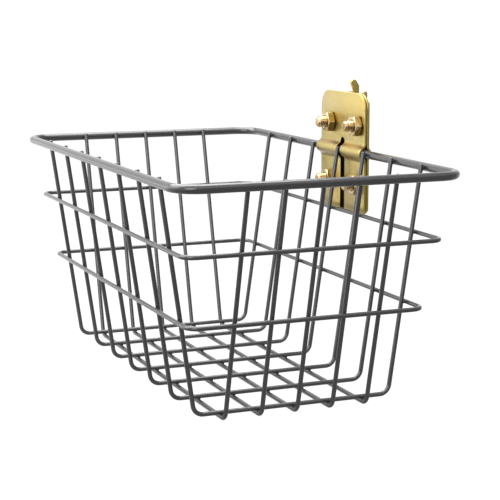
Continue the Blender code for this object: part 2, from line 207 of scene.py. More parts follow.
coat = satin_coat()


def close_tree(tree, given, out, made):
    """The end of each tree: smooth faces, plain geometry for instances, and the finish."""
    smooth = node_with(tree, "GeometryNodeSetShadeSmooth", {"Geometry": made})
    real = node_with(tree, "GeometryNodeRealizeInstances", {"Geometry": smooth.outputs[0]})
    values = {"Geometry": real.outputs[0], "Material": given.outputs["Finish"]}
    done = node_with(tree, "GeometryNodeSetMaterial", values)
    tree.links.new(done.outputs[0], out.inputs[0])
    return tree


def attribute(tree, name, kind):
    node = node_with(tree, "GeometryNodeInputNamedAttribute", {"Name": name}, data_type=kind)
    return node.outputs["Attribute"]


def wire_tree():
    """Geometry nodes that sweep a round wire along a path of edges, as thick as its girth says."""
    inputs = {"Path": "Geometry", "Wire radius": "Float", "Sides": "Int", "Finish": "Material"}
    outputs = {"Wire": "Geometry"}
    tree, given, out = new_group("round_wire", "GeometryNodeTree", inputs, outputs)
    along = node_with(tree, "GeometryNodeMeshToCurve", {"Mesh": given.outputs["Path"]})
    values = {"Resolution": given.outputs["Sides"], "Radius": given.outputs["Wire radius"]}
    ring = node_with(tree, "GeometryNodeCurvePrimitiveCircle", values)
    values = {
        "Curve": along.outputs[0],
        "Profile Curve": ring.outputs[0],
        "Scale": attribute(tree, "girth", "FLOAT"),
        "Fill Caps": True,
    }
    swept = node_with(tree, "GeometryNodeCurveToMesh", values)
    return close_tree(tree, given, out, swept.outputs[0])


round_wire = wire_tree()


def mesh_of(name, points, faces=(), edges=()):
    mesh = bpy.data.meshes.new(name)
    mesh.from_pydata([tuple(point) for point in points], edges, faces)
    return mesh


def put(name, data):
    """An object in the scene, at the origin."""
    thing = bpy.data.objects.new(name, data)
    bpy.context.scene.collection.objects.link(thing)
    return thing


def plain_mesh(thing):
    """The mesh that an object and its modifiers give. The object itself goes."""
    bpy.context.view_layer.update()
    graph = bpy.context.evaluated_depsgraph_get()
    mesh = bpy.data.meshes.new_from_object(thing.evaluated_get(graph))
    bpy.data.objects.remove(thing, do_unlink=True)
    return mesh


def reworked(mesh, *changes):
    """The mesh after the changes, made on it one after the other."""
    work = bmesh.new()
    work.from_mesh(mesh)
    for change in changes:
        change(work)
    work.to_mesh(mesh)
    work.free()
    return mesh


def merge_doubles(work):
    bmesh.ops.remove_doubles(work, verts=work.verts, dist=same_point)


def turn_faces_out(work):
    bmesh.ops.recalc_face_normals(work, faces=work.faces)


def piece_from(mesh, name, finish=None, crease=None):
    """The mesh as a closed piece, its edges sharp where they fold by more than the crease."""
    reworked(mesh, merge_doubles, turn_faces_out)
    mesh.name = name
    if finish:
        mesh.materials.clear()
        mesh.materials.append(finish)
    if crease:
        mesh.shade_smooth()
        mesh.set_sharp_from_angle(angle=radians(crease))
    return put(name, mesh)


def grown(seed_mesh, tree, values, name):
    """The piece that the node tree makes from the seed mesh."""
    seed = put(name + "_seed", seed_mesh)
    growth = seed.modifiers.new("growth", "NODES")
    growth.node_group = tree
    for item in tree.interface.items_tree:
        if item.name in values:
            growth[item.identifier] = values[item.name]
    return piece_from(plain_mesh(seed), name)


def wire_piece(name, path, radius, sides, finish, closed=False, girths=None):
    edges = [(i, i + 1) for i in range(len(path) - 1)]
    if closed:
        edges.append((len(path) - 1, 0))
    mesh = mesh_of(name + "_path", path, edges=edges)
    girth = mesh.attributes.new("girth", "FLOAT", "POINT")
    girth.data.foreach_set("value", girths or [1.0] * len(path))
    values = {"Wire radius": radius, "Sides": sides, "Finish": finish}
    return grown(mesh, round_wire, values, name)


def rounded_corners(corners, radius, steps, closed):
    """The corners joined by straight runs, each corner bent to the radius."""
    path = []
    for i, corner in enumerate(corners):
        here = Vector(corner)
        if not closed and i in (0, len(corners) - 1):
            path.append(here)
            continue
        back = (Vector(corners[i - 1]) - here).normalized()
        ahead = (Vector(corners[(i + 1) % len(corners)]) - here).normalized()
        half = back.angle(ahead) / 2
        middle = here + (back + ahead).normalized() * radius / sin(half)
        first = here + back * radius / math.tan(half) - middle
        last = here + ahead * radius / math.tan(half) - middle
        sweep = first.angle(last)
        for k in range(steps + 1):
            share = k / steps
            turned = first * sin((1 - share) * sweep) + last * sin(share * sweep)
            path.append(middle + turned / sin(sweep))
    return path


def ring_path(half_length, half_depth, corner, height, steps):
    signs = ((1, 1), (-1, 1), (-1, -1), (1, -1))
    corners = [(a * half_length, basket_middle + b * half_depth, height) for a, b in signs]
    return rounded_corners(corners, corner, steps, closed=True)


def on_basket(piece, slot, *nodes):
    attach(piece, "basket")
    if nodes:
        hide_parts(*nodes)


rim_path = ring_path(rim_half_length, rim_half_depth, rim_corner, rim_height, rim_corner_steps)
rim = wire_piece("rim_wire", rim_path, rim_radius, rim_sides, coat, closed=True)
on_basket(rim, "coated_wire", "rim")


# Uprights and floor: thin wires bent to a U. Seven run across and carry the floor, and five run the
# long way under them. Their cut ends are rounded over and stand just inside the rim.
thin_radius = 0.0011
thin_sides = 20
thin_bend = 0.005
thin_bend_steps = 12
weld_gap = 0.0003
tip_height = 0.00325
tip_round = 0.00055
tip_steps = 5
cross_floor = -0.10675
long_floor = -0.10925
cross_at_rim = 0.0653
long_at_rim = 0.1214
cross_at_floor = 0.0496
long_at_floor = 0.0939
cross_pitch = 0.030
long_pitch = 0.018
cross_count = 7
long_count = 5


def cross_leg(height):
    share = (rim_height - height) / (rim_height - cross_floor)
    return cross_at_rim + share * (cross_at_floor - cross_at_rim)


def long_leg(height):
    share = (rim_height - height) / (rim_height - long_floor)
    return long_at_rim + share * (long_at_floor - long_at_rim)


def rounded_tips(path):
    """The path with a few close points at each end, and the girth that rounds the cut ends over."""
    start = (path[1] - path[0]).normalized()
    end = (path[-2] - path[-1]).normalized()
    turns = [pi / 2 * k / tip_steps for k in range(tip_steps + 1)]
    offsets = [tip_round * (1 - cos(turn)) for turn in turns]
    girths = [1 - tip_round / thin_radius * (1 - sin(turn)) for turn in turns]
    head = [path[0] + start * offset for offset in offsets]
    tail = [path[-1] + end * offset for offset in reversed(offsets)]
    middle = path[1:-1]
    return head + middle + tail, girths + [1.0] * len(middle) + girths[::-1]


def bent_u(name, corners):
    path = rounded_corners(corners, thin_bend, thin_bend_steps, closed=False)
    path, girths = rounded_tips(path)
    return wire_piece(name, path, thin_radius, thin_sides, coat, girths=girths)


def u_turns(floor):
    """The four corners of a U, each as (side, height)."""
    return ((-1, tip_height), (-1, floor), (1, floor), (1, tip_height))


cross_places = [(k - cross_count // 2) * cross_pitch for k in range(cross_count)]
long_places = [basket_middle + (k - long_count // 2) * long_pitch for k in range(long_count)]
for number, x in enumerate(cross_places, start=1):
    turns = u_turns(cross_floor)
    corners = [(x, basket_middle + side * cross_leg(height), height) for side, height in turns]
    on_basket(bent_u(f"cross_u_{number}", corners), "coated_wire", f"cross_wire_{number}")
for number, y in enumerate(long_places, start=1):
    corners = [(side * long_leg(height), y, height) for side, height in u_turns(long_floor)]
    on_basket(bent_u(f"long_u_{number}", corners), "coated_wire", f"long_wire_{number}")


# Side hoops: two rings of the thin steel wire round the outside of the uprights, butt welded shut.
# They are welded to every upright and tie them together.
hoop_heights = {"upper_hoop": -0.02915, "lower_hoop": -0.06245}
hoop_corner = 0.006
hoop_corner_steps = 14
hoop_outside = 2 * thin_radius + weld_gap

for node, height in hoop_heights.items():
    length = long_leg(height) + hoop_outside
    depth = cross_leg(height) + hoop_outside
    path = ring_path(length, depth, hoop_corner, height, hoop_corner_steps)
    hoop = wire_piece(node + "_wire", path, thin_radius, thin_sides, coat, closed=True)
    on_basket(hoop, "coated_wire", node)


# Welds: every crossing is resistance welded, which leaves a small squeezed-out bead between the two
# wires. The coat covers the beads as it does the wire.
bead_at_rim = (0.00062, 0.00125, 0.00055)
bead_at_crossing = (0.00085, 0.00085, 0.00048)
bead_fineness = 3


def bead_tree():
    """Geometry nodes that put one bead on each point, turned by its seat and run directions."""
    inputs = {"Places": "Geometry", "Finish": "Material"}
    outputs = {"Beads": "Geometry"}
    tree, given, out = new_group("weld_beads", "GeometryNodeTree", inputs, outputs)
    labels = ("seat", "run", "size")
    seat, run, size = [attribute(tree, label, "FLOAT_VECTOR") for label in labels]
    values = {"Radius": 1.0, "Subdivisions": bead_fineness}
    ball = node_with(tree, "GeometryNodeMeshIcoSphere", values)
    values = {"Vector": seat}
    out_of_wire = node_with(tree, "FunctionNodeAlignRotationToVector", values, axis="Z")
    values = {"Rotation": out_of_wire.outputs[0], "Vector": run}
    along_wire = node_with(
        tree, "FunctionNodeAlignRotationToVector", values, axis="Y", pivot_axis="Z"
    )
    points = node_with(tree, "GeometryNodeMeshToPoints", {"Mesh": given.outputs["Places"]})
    values = {
        "Points": points.outputs[0],
        "Instance": ball.outputs[0],
        "Rotation": along_wire.outputs[0],
        "Scale": size,
    }
    placed = node_with(tree, "GeometryNodeInstanceOnPoints", values)
    return close_tree(tree, given, out, placed.outputs[0])


def bead_places():
    """Every crossing as (place, direction from wire to wire, direction of the wire, bead size)."""
    found = []
    clear = thin_radius + weld_gap / 2
    inside = rim_radius + weld_gap / 2
    cross_reach = [(rim_height, rim_half_depth - inside, bead_at_rim)]
    long_reach = [(rim_height, rim_half_length - inside, bead_at_rim)]
    for height in hoop_heights.values():
        cross_reach.append((height, cross_leg(height) + clear, bead_at_crossing))
        long_reach.append((height, long_leg(height) + clear, bead_at_crossing))
    cross_lean = cross_at_rim - cross_at_floor
    long_lean = long_at_rim - long_at_floor
    for sign in (-1, 1):
        run = Vector((0, sign * cross_lean, rim_height - cross_floor)).normalized()
        for x in cross_places:
            for height, reach, size in cross_reach:
                place = (x, basket_middle + sign * reach, height)
                found.append((place, (0, sign, 0), run, size))
        run = Vector((sign * long_lean, 0, rim_height - long_floor)).normalized()
        for y in long_places:
            for height, reach, size in long_reach:
                found.append(((sign * reach, y, height), (sign, 0, 0), run, size))
    for x in cross_places:
        for y in long_places:
            found.append(((x, y, cross_floor - clear), (0, 0, -1), (1, 0, 0), bead_at_crossing))
    return found


crossings = bead_places()
bead_seeds = mesh_of("bead_places", [found[0] for found in crossings])
for index, label in ((1, "seat"), (2, "run"), (3, "size")):
    layer = bead_seeds.attributes.new(label, "FLOAT_VECTOR", "POINT")
    layer.data.foreach_set("vector", [part for found in crossings for part in found[index]])
beads = grown(bead_seeds, bead_tree(), {"Finish": coat}, "weld_beads")
on_basket(beads, "coated_wire")


# Plates: two blanks of thin steel sheet, punched, pressed over the rim wire and yellow zinc plated.
# The front one takes most of the roll and is slotted for the middle upright. Brown painted shade
# darkens the creases beside the roll and its lower side, and painted shadow darkens the slot.
sheet = 0.00125
plate_edge_round = 0.00026
edge_steps = 2
plate_half_width = 0.02575
plate_top = 0.03185
plate_bottom = -0.03035
plate_top_corner = 0.0085
plate_bottom_corner = 0.0045
slot_half_width = 0.0024
slot_middle = 0.0004
slot_top_above_rim = 0.0066
slot_mouth_corner = 0.0006
rim_line = -0.0090
roll_radius = 0.003025
front_fillet = 0.0028
back_fillet = 0.0013
clamp_flat = -0.008975
back_flat = -0.007425
bend_reach = 0.0068
bend_cuts = 63
bolt_x = (-0.0134, 0.0182)
bolt_z = (-0.01505, 0.01535)
clamp_hole = 0.00315
clamp_hole_points = 32
plate_corner_steps = 12
slot_mouth_steps = 4
slot_end_steps = 16
neck_hole = 0.00325
neck_hole_corner = 0.0004
neck_corner_steps = 4
sheet_crease = 35
zinc_gold = (0.325, 0.240, 0.043)
zinc_pale = (0.380, 0.295, 0.080)
zinc_rose = (0.352, 0.217, 0.048)
zinc_green = (0.285, 0.240, 0.037)
# Painted light: the fittings take the plates' zinc tones lightened by this, as a lit copy of the
# zinc.
fitting_painted_lighter = 1.3
film_in_roll_shade = 0.25
zinc_grain_scale = 900.0
zinc_drawn = 0.07
zinc_drawn_depth = 0.00002
zinc_grain_roughness = (0.3, 0.7, -0.04, 0.06)
zinc_bath_roughness = (0.3, 0.7, -0.03, 0.05)
film_smoother = 0.05
pale_patches = (0.35, 0.65, 0.0, 0.7)
rose_patches = (0.52, 0.72, 0.0, 0.55)
green_patches = (0.46, 0.3, 0.0, 0.45)
bath_finer = 2.3
# Painted shadow: inside the slot the plate keeps only this share of its colour.
slot_painted_shade = 0.16
recess_front = -0.00795
recess_blur = 0.00005
slot_blur = 0.00015
# Painted shade: brown bands, each (height from the rim, reach, strength), darken the roll's creases
# and lower side.
roll_shade_brown = (0.150, 0.078, 0.009)
roll_shade_bands = ((0.0032, 0.0017, 0.95), (-0.0014, 0.0020, 0.55), (-0.0041, 0.0010, 0.50))
roll_shade_blur = 0.0002


def parts_of(tree, vector):
    return node_with(tree, "ShaderNodeSeparateXYZ", {0: vector}).outputs[:3]


def slot_painted_shadow(tree):
    """1 inside the upright's slot, where painted shadow darkens the plate."""
    x, y, z = parts_of(tree, object_place(tree))
    aside = maths(tree, "SUBTRACT", x, slot_middle)
    round_end = rim_height + slot_top_above_rim - slot_half_width
    above = maths(tree, "MAXIMUM", maths(tree, "SUBTRACT", z, round_end), 0.0)
    spoke = node_with(tree, "ShaderNodeCombineXYZ", {"X": aside, "Y": above}).outputs[0]
    reach = vector_maths(tree, "LENGTH", spoke)["Value"]
    inside = spread(tree, reach, slot_half_width, slot_half_width + slot_blur, 1.0, 0.0)
    before = spread(tree, y, recess_front - recess_blur, recess_front + recess_blur, 1.0, 0.0)
    return maths(tree, "MULTIPLY", inside, before)


def roll_painted_shade(tree):
    """The brown painted shade: strong in the creases beside the roll, and on its lower side."""
    y, z = parts_of(tree, object_place(tree))[1:]
    share = 0.0
    for middle, reach, strength in roll_shade_bands:
        away = maths(tree, "ABSOLUTE", maths(tree, "SUBTRACT", z, rim_height + middle))
        share = maths(tree, "ADD", share, spread(tree, away, 0.0, reach, strength, 0.0))
    before = spread(tree, y, recess_front - roll_shade_blur, recess_front, 1.0, 0.0)
    return maths(tree, "MULTIPLY", share, before)


def yellow_zinc(name, tones, roughness, film, cloud_scale, stretch=(1, 1, 1), pressed=False):
    """Zinc with a yellow passivated skin: gold, with rose and green where it is thinner."""
    main, pale, rose, green = tones
    made, tree, shader = surface(name)
    values = {"Cloud scale": cloud_scale, "Grain scale": zinc_grain_scale, "Stretch": stretch}
    clouds = effect(tree, cloud_and_grain, values)
    bath = effect(tree, cloud_and_grain, {"Cloud scale": cloud_scale * bath_finer})["Cloud"]
    rub = effect(tree, handling_rubs, {})["Rub"]
    colour = blend_colours(tree, spread(tree, clouds["Cloud"], *pale_patches), main, pale)
    colour = blend_colours(tree, spread(tree, bath, *rose_patches), colour, rose)
    colour = blend_colours(tree, spread(tree, bath, *green_patches), colour, green)
    colour = blend_colours(tree, maths(tree, "MULTIPLY", rub, rub_paleness), colour, pale)
    if pressed:
        # Brown painted shade beside and on the roll, where the film is also thinner.
        roll_shade = roll_painted_shade(tree)
        # Painted shadow inside the slot, where the film is also taken off.
        slot_shadow = slot_painted_shadow(tree)
        colour = blend_colours(tree, roll_shade, colour, roll_shade_brown)
        colour = blend_colours(tree, slot_shadow, colour, [part * slot_painted_shade for part in main])
        left = spread(tree, roll_shade, 0.0, 1.0, 1.0, film_in_roll_shade)
        film = maths(tree, "MULTIPLY", spread(tree, slot_shadow, 0.0, 1.0, film, 0.0), left)
    low, high, least, most = zinc_grain_roughness
    rough = spread(tree, clouds["Grain"], low, high, roughness + least, roughness + most)
    rough = maths(tree, "ADD", rough, spread(tree, bath, *zinc_bath_roughness))
    values = {
        "Base Color": colour,
        "Roughness": rough,
        "Metallic": 1.0,
        "Coat Weight": film,
        "Coat Roughness": roughness - film_smoother,
        "Normal": bumped(tree, clouds["Grain"], zinc_drawn, zinc_drawn_depth),
    }
    set_inputs(tree, shader, values)
    return made


zinc_tones = [zinc_gold, zinc_pale, zinc_rose, zinc_green]
plate_zinc = yellow_zinc(
    "plate_yellow_zinc",
    zinc_tones,
    roughness=0.38,
    film=0.6,
    cloud_scale=60.0,
    stretch=(0.25, 1.0, 1.0),
    pressed=True,
)


def sheet_fold(flat, side, fillet):
    """How a blank folds round the rim: (place of a point, blank height of a real height).

    The side is -1 where the roll stands out to the front, and 1 where it stands out to the
    back. The blank's height is measured along the sheet from the crown of the roll.
    """
    reach = roll_radius + fillet
    turn = math.acos(side * (flat + side * fillet - rim_line) / reach)
    rise = reach * sin(turn)

    def place(x, height, depth):
        along = abs(height)
        if along <= roll_radius * turn:
            angle = along / roll_radius
            y = rim_line + side * roll_radius * cos(angle)
            z = roll_radius * sin(angle)
        elif along <= reach * turn:
            angle = turn - (along - roll_radius * turn) / fillet
            y = flat + side * fillet - side * fillet * cos(angle)
            z = rise - fillet * sin(angle)
        else:
            angle = 0.0
            y = flat
            z = rise + along - reach * turn
        y += side * cos(angle) * depth
        z += sin(angle) * depth
        return (x, y, rim_height + math.copysign(z, height))

    def blank_height(height):
        above = height - rim_height
        return math.copysign(abs(above) - rise + reach * turn, above)

    return place, blank_height


def arc_points(middle, radius, start, end, steps):
    angles = [start + (end - start) * k / steps for k in range(steps + 1)]
    x, y = middle
    return [(x + radius * cos(angle), y + radius * sin(angle)) for angle in angles]


def flat_rounded(corners, radii, steps=8):
    path = []
    for i, (corner, radius) in enumerate(zip(corners, radii)):
        if not radius:
            path.append(tuple(corner))
            continue
        neighbours = (corners[i - 1], corner, corners[(i + 1) % len(corners)])
        three = [Vector((*point, 0)) for point in neighbours]
        three.append(three[0] + three[2] - three[1])
        bend = rounded_corners(three, radius, steps, closed=False)
        path += [tuple(point[:2]) for point in bend[1 : steps + 2]]
    return path


def stamped(name, outlines, thickness, edge_round):
    """A stamped flat blank in its own XY plane: outlines, the first outside, with rounded edges."""
    data = bpy.data.curves.new(name + "_blank", "CURVE")
    data.dimensions = "2D"
    data.fill_mode = "BOTH"
    data.extrude = thickness / 2 - edge_round
    data.bevel_depth = edge_round
    data.bevel_resolution = edge_steps
    data.offset = -edge_round
    for outline in outlines:
        spline = data.splines.new("POLY")
        spline.points.add(len(outline) - 1)
        for point, (x, y) in zip(spline.points, outline):
            point.co = (x, y, 0, 1)
        spline.use_cyclic_u = True
    return plain_mesh(put(name + "_blank", data))


def sliced(blank, heights):
    """The blank cut across at each height, so that it can bend there."""

    def cut(work):
        for height in heights:
            everything = work.verts[:] + work.edges[:] + work.faces[:]
            bmesh.ops.bisect_plane(
                work, geom=everything, dist=1e-8, plane_co=(0, height, 0), plane_no=(0, 1, 0)
            )

    return reworked(blank, merge_doubles, cut)


def plate_outline(blank_height, slotted):
    half = plate_half_width
    low, high = blank_height(plate_bottom), blank_height(plate_top)
    corners = [(half, low), (half, high), (-half, high), (-half, low)]
    radii = [plate_bottom_corner, plate_top_corner, plate_top_corner, plate_bottom_corner]
    outline = flat_rounded(corners, radii, plate_corner_steps)
    if slotted:
        top = blank_height(rim_height + slot_top_above_rim) - slot_half_width
        start = low + slot_mouth_corner
        aside = slot_half_width + slot_mouth_corner
        left, right = (slot_middle - aside, start), (slot_middle + aside, start)
        outline += arc_points(left, slot_mouth_corner, -pi / 2, 0, slot_mouth_steps)
        outline += arc_points((slot_middle, top), slot_half_width, pi, 0, slot_end_steps)
        outline += arc_points(right, slot_mouth_corner, pi, pi * 1.5, slot_mouth_steps)
    return outline


def rounded_square(x, y, half, corner):
    signs = [(-1, -1), (-1, 1), (1, 1), (1, -1)]
    corners = [(x + across * half, y + up * half) for across, up in signs]
    return flat_rounded(corners, [corner] * len(corners), neck_corner_steps)


def pressed_plate(name, flat, side, fillet, slotted, hole_outline):
    place, blank_height = sheet_fold(flat, side, fillet)
    outlines = [plate_outline(blank_height, slotted)]
    outlines += [hole_outline(x, blank_height(z)) for x in bolt_x for z in bolt_z]
    step = 2 * bend_reach / (bend_cuts - 1)
    cuts = [k * step - bend_reach for k in range(bend_cuts)]
    mesh = sliced(stamped(name, outlines, sheet, plate_edge_round), cuts)
    for vertex in mesh.vertices:
        vertex.co = place(*vertex.co)
    return piece_from(mesh, name, plate_zinc, sheet_crease)


def bolt_hole(x, height):
    steps = clamp_hole_points - 1
    return arc_points((x, height), clamp_hole, 0, -2 * pi * steps / clamp_hole_points, steps)


def neck_square(x, height):
    return rounded_square(x, height, neck_hole, neck_hole_corner)


front_plate = pressed_plate("front_plate", clamp_flat, -1, front_fillet, True, bolt_hole)
on_basket(front_plate, "gold_zinc", "clamp_plate")
rear_plate = pressed_plate("rear_plate", back_flat, 1, back_fillet, False, neck_square)
on_basket(rear_plate, "gold_zinc", "back_plate")


# Carriage bolts: cold headed steel with a low dome, a square neck that keeps each from turning in
# the rear plate, and a rolled thread. They are plated darker than the plates.
stud_radius = 0.0030
thread_pitch = 0.0010
thread_depth = 0.00052
thread_sides = 48
rings_a_pitch = 12
stud_end = -0.0180
stud_chamfer = 0.0008
chamfer_steps = 5
thread_flank = (0.07, 0.42, 0.0, 1.0)
thread_skin = (0.72, 1.0, 0.0, 1.0)
stud_hollow = 0.55
neck_half = 0.0031
neck_front = -0.00805
neck_corner = 0.0005
neck_in_head = 0.0006
head_seat = -0.0065
head_radius = 0.0049
head_height = 0.0022
head_underside = 0.97
head_edge = 0.0002
head_steps = 10
dome_top = 0.985
bolt_crease = 50
bolt_gold = (0.32, 0.20, 0.060)
bolt_pale = (0.60, 0.50, 0.31)
bolt_rose = (0.36, 0.18, 0.080)
bolt_green = (0.22, 0.16, 0.045)
bolt_tones = [bolt_gold, bolt_pale, bolt_rose, bolt_green]
bolt_finish = yellow_zinc(
    "bolt_yellow_zinc", bolt_tones, roughness=0.14, film=0.25, cloud_scale=240.0
)


def thread_tree():
    """Geometry nodes that roll a thread into a rod along Y: a V that winds once a pitch."""
    inputs = {"Rod": "Geometry", "Pitch": "Float", "Depth": "Float", "Rod radius": "Float"}
    inputs["Finish"] = "Material"
    outputs = {"Stud": "Geometry"}
    tree, given, out = new_group("rolled_thread", "GeometryNodeTree", inputs, outputs)
    position = node_with(tree, "GeometryNodeInputPosition").outputs[0]
    x, y, z = parts_of(tree, position)
    turn = maths(tree, "DIVIDE", maths(tree, "ARCTAN2", z, x), 2 * pi)
    wound = maths(tree, "ADD", maths(tree, "DIVIDE", y, given.outputs["Pitch"]), turn)
    valley = spread(tree, maths(tree, "PINGPONG", wound, 0.5), *thread_flank)
    spoke = node_with(tree, "ShaderNodeCombineXYZ", {"X": x, "Z": z}).outputs[0]
    reach = vector_maths(tree, "LENGTH", spoke)["Value"]
    out_share = maths(tree, "DIVIDE", reach, given.outputs["Rod radius"])
    near_surface = spread(tree, out_share, *thread_skin)
    depth = maths(tree, "MULTIPLY", valley, given.outputs["Depth"])
    depth = maths(tree, "MULTIPLY", depth, near_surface)
    outwards = vector_maths(tree, "NORMALIZE", spoke)[0]
    values = {0: outwards, "Scale": maths(tree, "MULTIPLY", depth, -1.0)}
    inwards = node_with(tree, "ShaderNodeVectorMath", values, operation="SCALE")
    values = {"Geometry": given.outputs["Rod"], "Offset": inwards.outputs[0]}
    cut = node_with(tree, "GeometryNodeSetPosition", values)
    return close_tree(tree, given, out, cut.outputs[0])


rolled_thread = thread_tree()


def bands(rows, sides, looped=False):
    """The faces from each ring of points to the next, and from the last to the first if looped."""
    faces = []
    for row in range(rows if looped else rows - 1):
        low, high = row * sides, (row + 1) % rows * sides
        for k in range(sides):
            k2 = (k + 1) % sides
            faces.append((low + k, low + k2, high + k2, high + k))
    return faces


def closed_bands(rows, sides):
    ends = [tuple(range(row * sides, (row + 1) * sides)) for row in (0, rows - 1)]
    return bands(rows, sides) + ends


def turned(profile, sides):
    """Points and faces of a profile of (radius, y) turned about the Y axis, closed at both ends."""
    points = []
    for radius, y in profile:
        for k in range(sides):
            angle = 2 * pi * k / sides
            points.append((radius * cos(angle), y, radius * sin(angle)))
    return points, closed_bands(len(profile), sides)


def joined(shells):
    """Several (points, faces) shells as one."""
    points, faces = [], []
    for shell_points, shell_faces in shells:
        start = len(points)
        points += shell_points
        faces += [tuple(start + i for i in face) for face in shell_faces]
    return points, faces


def threaded_rod():
    start = stud_end + stud_chamfer
    rings = round((head_seat - start) / thread_pitch * rings_a_pitch)
    profile = [(stud_radius * stud_hollow, stud_end), (stud_radius - stud_chamfer, stud_end)]
    for k in range(1, chamfer_steps):
        share = k / chamfer_steps
        profile.append((stud_radius - stud_chamfer * (1 - share), stud_end + stud_chamfer * share))
    for k in range(rings + 1):
        profile.append((stud_radius, start + (head_seat - start) * k / rings))
    rod = mesh_of("rod", *turned(profile, thread_sides))
    values = {"Pitch": thread_pitch, "Depth": thread_depth, "Rod radius": stud_radius}
    return grown(rod, rolled_thread, {**values, "Finish": bolt_finish}, "threaded_rod")


def dome_head():
    sphere = (head_radius**2 + head_height**2) / (2 * head_height)
    sweep = math.asin(head_radius / sphere)
    profile = [(head_radius * head_underside, head_seat), (head_radius, head_seat + head_edge)]
    for k in range(head_steps):
        angle = sweep * (1 - k / head_steps) * dome_top
        height = sphere * (cos(angle) - cos(sweep))
        profile.append((sphere * sin(angle), head_seat + height))
    return turned(profile, thread_sides)


def drawn_out(outline, axis, low, high):
    """Points and faces of a flat outline drawn out along an axis from low to high."""
    points = []
    for level in (low, high):
        for first, second in outline:
            point = [first, second]
            point.insert(axis, level)
            points.append(tuple(point))
    return points, closed_bands(2, len(outline))


neck_outline = rounded_square(0, 0, neck_half, neck_corner)
neck = drawn_out(neck_outline, 1, neck_front, head_seat + neck_in_head)
head_mesh = mesh_of("head", *joined([dome_head(), neck]))
rod = threaded_rod()
bolt_mesh = reworked(rod.data, lambda work: work.from_mesh(head_mesh))
bpy.data.objects.remove(rod, do_unlink=True)
bolt_places = [
    (x, z, f"{level}_{side}")
    for x, side in zip(bolt_x, ("left", "right"))
    for z, level in zip(bolt_z, ("lower", "upper"))
]
for x, z, label in bolt_places:
    mesh = bolt_mesh.copy()
    mesh.transform(Matrix.Translation((x, 0, z)))
    bolt = piece_from(mesh, f"carriage_bolt_{label}", bolt_finish, bolt_crease)
    on_basket(bolt, "bolt_zinc", f"bolt_{label}")


# Nuts: plated steel hexagon nuts with both faces chamfered. They are run up against the front plate
# and clamp the two plates on the rim.
nut_half_flats = 0.0050
nut_front = -0.0137
nut_back = -0.0099
nut_face_radius = 0.00475
nut_corner_cut = 0.00012
nut_bore = 0.00315
nut_countersink = 0.00345
nut_points = 96
nut_crease = 24


def nut_profile(reach):
    """The nut cut through, from the bore's mouth over the chamfer, down the flat and back."""
    half = (nut_back - nut_front) / 2
    drop = (reach - nut_face_radius) * math.tan(radians(30))
    lead = nut_countersink - nut_bore
    return [
        (nut_countersink, half),
        (nut_face_radius, half),
        (reach, half - drop),
        (reach, drop - half),
        (nut_face_radius, -half),
        (nut_countersink, -half),
        (nut_bore, lead - half),
        (nut_bore, half - lead),
    ]


def hexagon_nut():
    middle = (nut_front + nut_back) / 2
    corner = nut_half_flats / cos(radians(30)) - nut_corner_cut
    angles = [2 * pi * k / nut_points for k in range(nut_points)]
    profiles = []
    for angle in angles:
        off_flat = (angle + pi / 2 + pi / 6) % (pi / 3) - pi / 6
        profiles.append(nut_profile(min(nut_half_flats / cos(off_flat), corner)))
    points = []
    for ring in zip(*profiles):
        for angle, (radius, y) in zip(angles, ring):
            points.append((radius * cos(angle), middle + y, radius * sin(angle)))
    return points, bands(len(profiles[0]), nut_points, looped=True)


nut_shape = hexagon_nut()
for x, z, label in bolt_places:
    mesh = mesh_of(f"hex_nut_{label}", *nut_shape)
    mesh.transform(Matrix.Translation((x, 0, z)))
    nut = piece_from(mesh, f"hex_nut_{label}", bolt_finish, nut_crease)
    on_basket(nut, "bolt_zinc", f"nut_{label}")


# Stand-off channel: a short steel channel welded behind the rear plate. Its two edges bear on the
# track beside the slot, so that the bolt heads clear it.
channel_sheet = 0.0013
channel_half = 0.0079
channel_front = -0.0065
channel_low = -0.02885
channel_high = 0.03145
channel_bend = 0.0012
notch_low = -0.0026
notch_high = 0.0055
notch_depth = -0.00495
channel_edge_round = 0.0002
bend_inside = 0.0003
cut_overrun = 0.001
# The fittings' zinc is the plates' zinc painted lighter, to stand in for light on their sides.
fitting_painted_lit_tones = [tuple(part * fitting_painted_lighter for part in tone) for tone in zinc_tones]
fitting_zinc = yellow_zinc(
    "fitting_yellow_zinc",
    fitting_painted_lit_tones,
    roughness=0.31,
    film=0.6,
    cloud_scale=90.0,
    stretch=(1.0, 1.0, 0.3),
)


def solid_from_outline(name, outline, axis, low, high, edge_round=0.0, segments=2):
    """A flat outline drawn out along an axis from low to high, its long edges rounded."""

    def rounded(work):
        limit = radians(sheet_crease)
        sharp = [edge for edge in work.edges if edge.calc_face_angle(0) > limit]
        sizes = {"offset": edge_round, "segments": segments, "profile": 0.5}
        bmesh.ops.bevel(work, geom=sharp, affect="EDGES", clamp_overlap=True, **sizes)

    mesh = reworked(mesh_of(name, *drawn_out(outline, axis, low, high)), turn_faces_out)
    return reworked(mesh, rounded) if edge_round else mesh


def rectangle(left, right, low, high):
    return [(left, low), (right, low), (right, high), (left, high)]


def cut_away(mesh, cutters):
    """The mesh with each closed cutter mesh cut out of it."""
    body = put("body", mesh)
    tools = [put("tool", cutter) for cutter in cutters]
    for tool in tools:
        step = body.modifiers.new("cut", "BOOLEAN")
        step.operation = "DIFFERENCE"
        step.object = tool
    result = plain_mesh(body)
    for tool in tools:
        bpy.data.objects.remove(tool, do_unlink=True)
    return result


